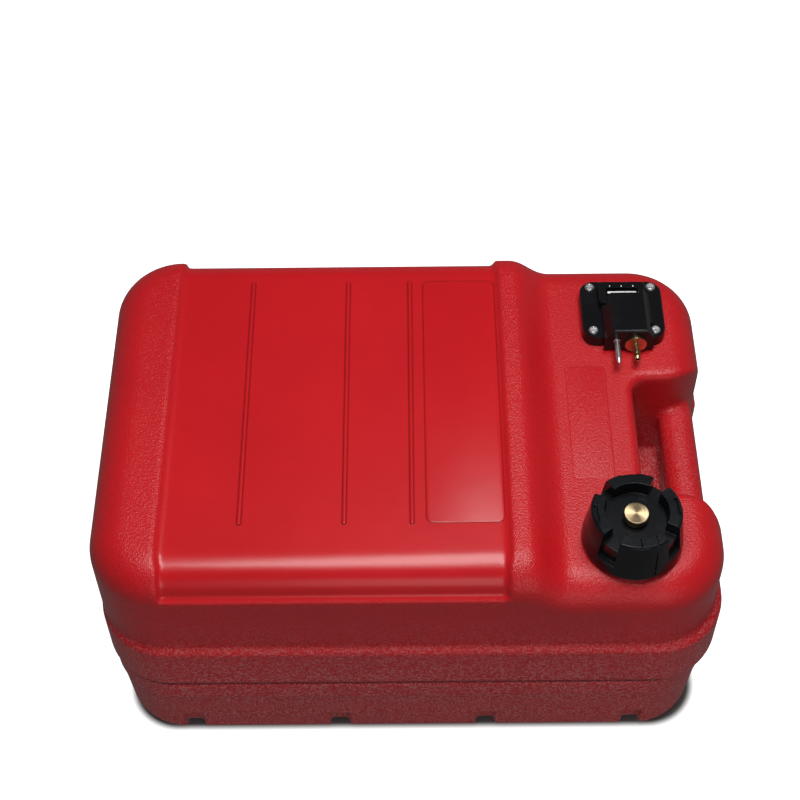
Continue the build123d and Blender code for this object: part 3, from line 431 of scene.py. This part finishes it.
def pale_plastic(name, color):
    s = Shader(name, color, roughness=0.4)
    shade = s.blend(s.noise(60), color, darker(color, share=0.9))
    return s.finish(shade, normal=s.bump(s.noise(800, detail=2.0), 0.05 * MM, strength=0.4))


def foam():
    s = Shader("float_foam", FOAM, roughness=0.8, specular=0.2)
    cells = s.add("ShaderNodeTexVoronoi")
    s.put(cells.inputs["Vector"], s.place)
    s.put(cells.inputs["Scale"], 900.0)
    shade = s.blend(cells.outputs["Distance"], darker(FOAM, share=0.7), FOAM)
    return s.finish(shade, normal=s.bump(cells.outputs["Distance"], 0.2 * MM, strength=0.6))


def clear_plastic():
    s = Shader("clear_plastic", CLEAR, roughness=0.06)
    s.put(s.main.inputs["Transmission Weight"], 1.0)
    s.put(s.main.inputs["IOR"], 1.49)
    return s.finish(normal=s.bump(s.noise(60, detail=2.0), 0.1 * MM, strength=0.15))


MATERIALS = {
    "red_polyethylene": red_plastic(),
    "black_cap_plastic": black_plastic("black_cap_plastic", BLACK_CAP, roughness=0.2, specular=0.22),
    "black_head_plastic": black_plastic("black_head_plastic", BLACK_HEAD, roughness=0.22, specular=0.3),
    "black_rubber": rubber(),
    "brass": turned_metal("brass", BRASS, roughness=0.3, centre=CAP_AXIS, axis=2, spin=0.75),
    "plated_steel": drawn_metal("plated_steel", BRIGHT, roughness=0.32),
    "plain_steel": drawn_metal("plain_steel", STEEL, roughness=0.22),
    "clear_plastic": clear_plastic(),
    "white_plastic": pale_plastic("white_plastic", WHITE),
    "float_foam": foam(),
}
PRONG_BRASS = turned_metal("prong_brass", BRASS, roughness=0.24, centre=PRONG_AXIS, axis=1)


# ------------------------------------------------------------------ mesh helpers
def new_piece(name, bm, body, slot, material=None):
    """Turn a bmesh into a smooth-shaded piece that rides on a body."""
    mesh = bpy.data.meshes.new(name)
    bm.to_mesh(mesh)
    bm.free()
    piece = bpy.data.objects.new(name, mesh)
    bpy.context.scene.collection.objects.link(piece)
    mesh.materials.append(material or MATERIALS[slot])
    mesh.shade_smooth()
    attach(piece, body)
    return piece


def apply_modifiers(piece):
    """Replace a piece's mesh by what its modifiers make of it."""
    graph = bpy.context.evaluated_depsgraph_get()
    mesh = bpy.data.meshes.new_from_object(piece.evaluated_get(graph))
    piece.modifiers.clear()
    piece.data = mesh
    return piece


def keep_sharp_edges(piece, angle):
    """Smooth shading, with edges sharper than an angle kept crisp."""
    piece.data.shade_smooth()
    bm = bmesh.new()
    bm.from_mesh(piece.data)
    limit = math.radians(angle)
    for edge in bm.edges:
        if len(edge.link_faces) == 2:
            edge.smooth = edge.calc_face_angle(0) < limit
    bm.to_mesh(piece.data)
    bm.free()


def refined(node, body, slot, bevel, material=None):
    """The CAD node's own shape with its sharp edges rounded, as a piece that stands for the node."""
    bm = bmesh.new()
    bm.from_mesh(NODES[node].data)
    bmesh.ops.remove_doubles(bm, verts=bm.verts, dist=WELD)
    bmesh.ops.dissolve_limit(bm, angle_limit=math.radians(FLAT_BELOW), verts=bm.verts, edges=bm.edges)
    piece = new_piece(node + "_soft", bm, body, slot, material)
    rounding = piece.modifiers.new("edges", "BEVEL")
    rounding.width = bevel
    rounding.segments = 2
    rounding.limit_method = "ANGLE"
    rounding.angle_limit = math.radians(ROUNDED_FROM)
    rounding.harden_normals = False
    rounding.use_clamp_overlap = True
    apply_modifiers(piece)
    keep_sharp_edges(piece, CRISP_FROM)
    weighted = piece.modifiers.new("weighted", "WEIGHTED_NORMAL")
    weighted.keep_sharp = True
    apply_modifiers(piece)
    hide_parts(node)
    return piece


def skin_rings(bm, rings):
    """Faces between closed rings of equal length, with both ends filled."""
    loops = [[bm.verts.new(p) for p in ring] for ring in rings]
    for low, high in zip(loops, loops[1:]):
        for i in range(len(low)):
            j = (i + 1) % len(low)
            bm.faces.new((low[i], low[j], high[j], high[i]))
    bm.faces.new(loops[-1])
    bm.faces.new(list(reversed(loops[0])))


def slot_ring(x, y0, y1, z, radius, count=10):
    """Points of a long round-ended outline at a distance from its middle line."""
    points = []
    for i in range(count + 1):
        turn = math.pi * i / count
        points.append(Vector((x + radius * math.cos(turn), y1 + radius * math.sin(turn), z)))
    for i in range(count + 1):
        turn = math.pi * (1 + i / count)
        points.append(Vector((x + radius * math.cos(turn), y0 + radius * math.sin(turn), z)))
    return points


def rounded_rectangle(x0, x1, y0, y1, radius, z, count=8):
    """Points of a level rectangle with rounded corners."""
    points = []
    corners = ((x1 - radius, y1 - radius, 0), (x0 + radius, y1 - radius, 1),
               (x0 + radius, y0 + radius, 2), (x1 - radius, y0 + radius, 3))
    for cx, cy, quarter in corners:
        for i in range(count + 1):
            turn = math.pi / 2 * (quarter + i / count)
            points.append(Vector((cx + radius * math.cos(turn), cy + radius * math.sin(turn), z)))
    return points


# ------------------------------------------------------------------ the tank's skin
AXIS_WAYS = [Vector(way) for way in ((1, 0, 0), (-1, 0, 0), (0, 1, 0), (0, -1, 0), (0, 0, -1))]
UP = Vector((0, 0, 1))


def seen_from_outside(tree, face):
    """Whether a straight way along an axis leads out from either side of a face.

    Under the filler neck and the head's hole the way up doesn't count, because it leads out of the inside.
    """
    middle = face.calc_center_median()
    under_hole = middle.z < DECK_Z - WALL and any(
        (middle.xy - axis.xy).length < radius for axis, radius in HOLES)
    ways = AXIS_WAYS if under_hole else AXIS_WAYS + [UP]
    for side in (-PROBE, PROBE):
        start = middle + face.normal * side
        if any(tree.ray_cast(start, way)[0] is None for way in ways):
            return True
    return False


def outer_skin():
    """The moulding's outside as a closed mesh, without its inner wall."""
    bm = bmesh.new()
    bm.from_mesh(NODES["tank_body"].data)
    bmesh.ops.remove_doubles(bm, verts=bm.verts, dist=WELD)
    bm.normal_update()
    tree = BVHTree.FromBMesh(bm)
    inner = [face for face in bm.faces if not seen_from_outside(tree, face)]
    bmesh.ops.delete(bm, geom=inner, context="FACES")
    rim = [edge for edge in bm.edges if len(edge.link_faces) == 1]
    bmesh.ops.holes_fill(bm, edges=rim, sides=0)
    return bm


def relax_share(place):
    """How far the skin relaxes at a place, where 1 is in full."""
    beside_neck = (place.xy - CAP_AXIS.xy).length < NECK_ROOM_R
    if beside_neck and DECK_Z + NECK_FOOT < place.z < NECK_TOP:
        return NECK_RELAX
    return min(max((place.z - LEDGE_Z - RELAX_START) / RELAX_RISE, LOW_RELAX), 1.0)


def thread_neck(mesh):
    """Press a soft right-handed thread groove into the filler neck."""
    for vertex in mesh.vertices:
        x, y, z = vertex.co
        outward = Vector((x, y)) - CAP_AXIS.xy
        beside_wall = abs(outward.length - NECK_R) < THREAD_REACH
        if beside_wall and THREAD_SPAN_Z[0] < z < THREAD_SPAN_Z[1]:
            turn = math.atan2(outward.y, outward.x) / math.tau
            groove = 0.5 - 0.5 * math.cos(math.tau * (z / THREAD_PITCH - turn))
            place = CAP_AXIS.xy + outward * (1 - THREAD_DEPTH * groove / NECK_R)
            vertex.co = (place.x, place.y, z)


def deepen_hatch(mesh):
    """Lower the skin's closure under the fuel head, so that the gauge drum swings clear of it."""
    for vertex in mesh.vertices:
        aside = (vertex.co.xy - PLATE_AXIS.xy).length
        if HATCH_SPAN_Z[0] < vertex.co.z < HATCH_SPAN_Z[1] and aside < HATCH_CLOSURE_R:
            vertex.co.z -= HATCH_DROP


def level_rib_beds(mesh):
    """Flatten the panel where its ribs stand, because they are pieces of their own."""
    for vertex in mesh.vertices:
        x, y, z = vertex.co
        beside = min(abs(x - PANEL_X[0] - shift) for shift in RIB_OFFSETS)
        along = RIB_ENDS[0] - RIB_BED_END < y < RIB_ENDS[1] + RIB_BED_END
        if z > PANEL_Z and beside < RIB_BED_REACH and along:
            vertex.co.z = PANEL_Z


def lighter(piece, share):
    """Keep a share of a piece's faces, and the shading of the full mesh."""
    piece.data.shade_smooth()
    full = bpy.data.objects.new("full", piece.data.copy())
    bpy.context.scene.collection.objects.link(full)
    fewer = piece.modifiers.new("fewer", "DECIMATE")
    fewer.ratio = share
    shading = piece.modifiers.new("shading", "DATA_TRANSFER")
    shading.object = full
    shading.use_loop_data = True
    shading.data_types_loops = {"CUSTOM_NORMAL"}
    shading.loop_mapping = "POLYINTERP_NEAREST"
    apply_modifiers(piece)
    bpy.data.objects.remove(full)


def tank_skin():
    """Soft blow-moulded skin: remeshed evenly, then relaxed, most of all above the ledge."""
    piece = new_piece("tank_skin", outer_skin(), "tank", "red_polyethylene")
    remesh = piece.modifiers.new("even", "REMESH")
    remesh.mode = "VOXEL"
    remesh.voxel_size = VOXEL
    apply_modifiers(piece)
    group = piece.vertex_groups.new(name="soft")
    for vertex in piece.data.vertices:
        group.add([vertex.index], relax_share(vertex.co), "REPLACE")
    relax = piece.modifiers.new("relax", "SMOOTH")
    relax.factor = RELAX_FACTOR
    relax.iterations = RELAX_ROUNDS
    relax.vertex_group = "soft"
    apply_modifiers(piece)
    level_rib_beds(piece.data)
    thread_neck(piece.data)
    deepen_hatch(piece.data)
    piece.vertex_groups.clear()
    piece.data.materials.clear()
    piece.data.materials.append(MATERIALS["red_polyethylene"])
    lighter(piece, KEPT_SHARE)
    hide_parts("tank_body")
    return piece


# ------------------------------------------------------------------ trim
def panel_ribs():
    """Three rounded beads along the saddle panel."""
    bm = bmesh.new()
    half = RIB_WIDTH / 2
    y0, y1 = RIB_ENDS
    for shift in RIB_OFFSETS:
        x = PANEL_X[0] + shift
        skin_rings(bm, [slot_ring(x, y0 + half, y1 - half, PANEL_Z + RIB_HEIGHT * height, half * width)
                        for width, height in RIB_PROFILE])
    return new_piece("panel_ribs", bm, "tank", "red_polyethylene")


def raised_field(name, x0, x1, y0, y1, radius, z, rise):
    """Flat field that stands a little above the surface round it, with a softly rounded edge."""
    bm = bmesh.new()
    skin_rings(bm, [rounded_rectangle(x0 + d, x1 - d, y0 + d, y1 - d, radius - d, z + height * rise)
                    for d, height in FIELD_EDGE])
    return new_piece(name, bm, "tank", "red_polyethylene")


def gauge_marks():
    """The pale bar seen through the gauge's window, and three plain ticks behind it."""
    bm = bmesh.new()
    middle = (WINDOW_LOW.x + WINDOW_HIGH.x) / 2
    half = (WINDOW_HIGH.x - WINDOW_LOW.x) / 2 - BAR_INSET
    bar_y = (WINDOW_LOW.y + WINDOW_HIGH.y) / 2 + BAR_SHIFT
    marks = [(middle - half, middle + half, bar_y - BAR_HALF_WIDTH, bar_y + BAR_HALF_WIDTH, WINDOW_HIGH.z)]
    tick_y = WINDOW_HIGH.y + TICK_GAP
    for shift in TICK_SHIFTS:
        x = middle + shift
        marks.append((x - TICK_HALF_WIDTH, x + TICK_HALF_WIDTH, tick_y, tick_y + TICK_LENGTH,
                      WINDOW_HIGH.z + TICK_RISE))
    for x0, x1, y0, y1, z in marks:
        skin_rings(bm, [rounded_rectangle(x0 + d, x1 - d, y0 + d, y1 - d, MARK_CORNER - d, z + rise, count=3)
                        for d, rise in MARK_EDGE])
    return new_piece("gauge_marks", bm, "tank", "white_plastic")


# ------------------------------------------------------------------ stage, light and camera
def shiny_rays(tree, path):
    """1 for what the tank mirrors or refracts, 0 for everything else."""
    return math_node(tree, "MAXIMUM", path.outputs["Is Glossy Ray"], path.outputs["Is Transmission Ray"])


def clear_of_foot(tree):
    """0 under the tank, rising to 1 near its outline: the real shadow at its foot stays, and shadow is
    painted there.
    """
    x, y, _ = axes_node(tree, tree.nodes.new("ShaderNodeTexCoord").outputs["Object"])
    outline = (-TANK_HIGH.x, TANK_HIGH.x, -TANK_HIGH.y, TANK_HIGH.y, FOOT_CORNER)
    return span_node(tree, outline_gap_node(tree, x, y, outline), FOOT_SHADE_FULL, FOOT_SHADE_GONE)


def floor():
    """White floor with the tank's shadow, partly painted, that lights the tank less than its whiteness
    would.
    """
    mesh = bpy.data.meshes.new("floor")
    corners = [(x * FLOOR_REACH, y * FLOOR_REACH, 0) for x, y in ((-1, -1), (1, -1), (1, 1), (-1, 1))]
    mesh.from_pydata(corners, [], [(0, 1, 2, 3)])
    plane = bpy.data.objects.new("floor", mesh)
    bpy.context.scene.collection.objects.link(plane)
    material = bpy.data.materials.new("floor_white")
    material.use_nodes = True
    tree = material.node_tree
    tree.nodes.clear()
    out = tree.nodes.new("ShaderNodeOutputMaterial")
    path = tree.nodes.new("ShaderNodeLightPath")
    seen = path.outputs["Is Camera Ray"]
    diffuse = tree.nodes.new("ShaderNodeBsdfDiffuse")
    shiny = shiny_rays(tree, path)
    clear = clear_of_foot(tree)
    # Painted shadow: under the tank's foot the floor the camera sees is darker, on top of its real shadow.
    whiteness = math_node(tree, "MULTIPLY", clear, FLOOR_SEEN - FLOOR_SHADOW_WHITENESS)
    whiteness = math_node(tree, "ADD", whiteness, FLOOR_SHADOW_WHITENESS - FLOOR_BOUNCE)
    level = math_node(tree, "ADD", math_node(tree, "MULTIPLY", seen, whiteness), FLOOR_BOUNCE)
    dimmed = math_node(tree, "MULTIPLY", shiny, FLOOR_BOUNCE - FLOOR_MIRRORED)
    level = math_node(tree, "SUBTRACT", level, dimmed)
    tree.links.new(level, diffuse.inputs["Color"])
    glow = tree.nodes.new("ShaderNodeEmission")
    camera_glow = math_node(tree, "MULTIPLY", seen, clear)
    shiny_glow = math_node(tree, "MULTIPLY", shiny, FLOOR_SHINE)
    tree.links.new(math_node(tree, "ADD", camera_glow, shiny_glow), glow.inputs["Strength"])
    both = tree.nodes.new("ShaderNodeAddShader")
    tree.links.new(diffuse.outputs[0], both.inputs[0])
    tree.links.new(glow.outputs[0], both.inputs[1])
    tree.links.new(both.outputs[0], out.inputs["Surface"])
    mesh.materials.append(material)


def world():
    """Dim surroundings, seen as white by the camera and near the horizon in reflections."""
    sky = bpy.data.worlds.new("studio")
    bpy.context.scene.world = sky
    sky.use_nodes = True
    tree = sky.node_tree
    background = tree.nodes["Background"]
    background.inputs["Color"].default_value = (1, 1, 1, 1)
    path = tree.nodes.new("ShaderNodeLightPath")
    _, _, slope = axes_node(tree, tree.nodes.new("ShaderNodeTexCoord").outputs["Generated"])
    horizon = span_node(tree, slope, *HORIZON_SPAN, start=HORIZON_SHINE, end=SKY_LEVEL, kind="LINEAR")
    extra = math_node(tree, "SUBTRACT", horizon, SKY_LEVEL)
    shine = math_node(tree, "MULTIPLY", extra, shiny_rays(tree, path))
    level = math_node(tree, "ADD", shine, SKY_LEVEL)
    white = math_node(tree, "MULTIPLY", path.outputs["Is Camera Ray"], 1.0 - SKY_LEVEL)
    tree.links.new(math_node(tree, "ADD", level, white), background.inputs["Strength"])


def area_light(name, place, width, height, power):
    """Rectangular softbox that faces the tank."""
    data = bpy.data.lights.new(name, "AREA")
    data.shape = "RECTANGLE"
    data.size = width
    data.size_y = height
    data.energy = power
    lamp = bpy.data.objects.new(name, data)
    lamp.location = place
    lamp.rotation_euler = (Vector(LIT_POINT) - Vector(place)).to_track_quat("-Z", "Y").to_euler()
    bpy.context.scene.collection.objects.link(lamp)


def camera():
    """The camera at the photograph's angle, found by fitting it to the tank's outline there."""
    pitch, yaw, roll = CAMERA_PITCH, CAMERA_YAW, CAMERA_ROLL
    ahead = Vector((math.sin(yaw) * math.cos(pitch), math.cos(yaw) * math.cos(pitch), -math.sin(pitch)))
    right = Vector((math.cos(yaw), -math.sin(yaw), 0))
    up = right.cross(ahead)
    across = math.cos(roll) * right + math.sin(roll) * up
    above = math.cos(roll) * up - math.sin(roll) * right
    data = bpy.data.cameras.new("camera")
    data.lens = CAMERA_LENS
    data.sensor_width = CAMERA_SENSOR
    data.clip_start = CAMERA_NEAR
    eye = bpy.data.objects.new("camera", data)
    turn = Matrix((across, above, -ahead)).transposed()
    eye.matrix_world = Matrix.Translation(CAMERA_PLACE) @ turn.to_4x4()
    bpy.context.scene.collection.objects.link(eye)
    bpy.context.scene.camera = eye


# ------------------------------------------------------------------ the scene
tank_skin()
panel_ribs()
raised_field("panel_field", *PANEL_FIELD, PANEL_Z, PANEL_FIELD_RISE)
raised_field("deck_field", *DECK_FIELD, DECK_Z, DECK_FIELD_RISE)

refined("cap_shell", "cap", "black_cap_plastic", bevel=0.6 * MM)
refined("meter_body", "tank", "black_head_plastic", bevel=0.5 * MM)
refined("vent_knob", "vent_screw", "brass", bevel=0.15 * MM)
refined("fuel_prong", "tank", "brass", bevel=0.15 * MM, material=PRONG_BRASS)
refined("guide_pin", "tank", "plain_steel", bevel=0.2 * MM, material=MATERIALS["plated_steel"])
refined("meter_screws", "tank", "plated_steel", bevel=0.2 * MM)
gauge_marks()

for node_name, node in NODES.items():
    node.data.materials.clear()
    node.data.materials.append(MATERIALS[SLOT_OF[node_name]])

floor()
world()
area_light("overhead", (0.12, -0.08, 1.75), width=1.3, height=0.55, power=25.0)
area_light("front_fill", (0.4, -1.9, 0.7), width=1.2, height=0.8, power=6.0)
camera()
bpy.context.scene.view_settings.view_transform = "Standard"
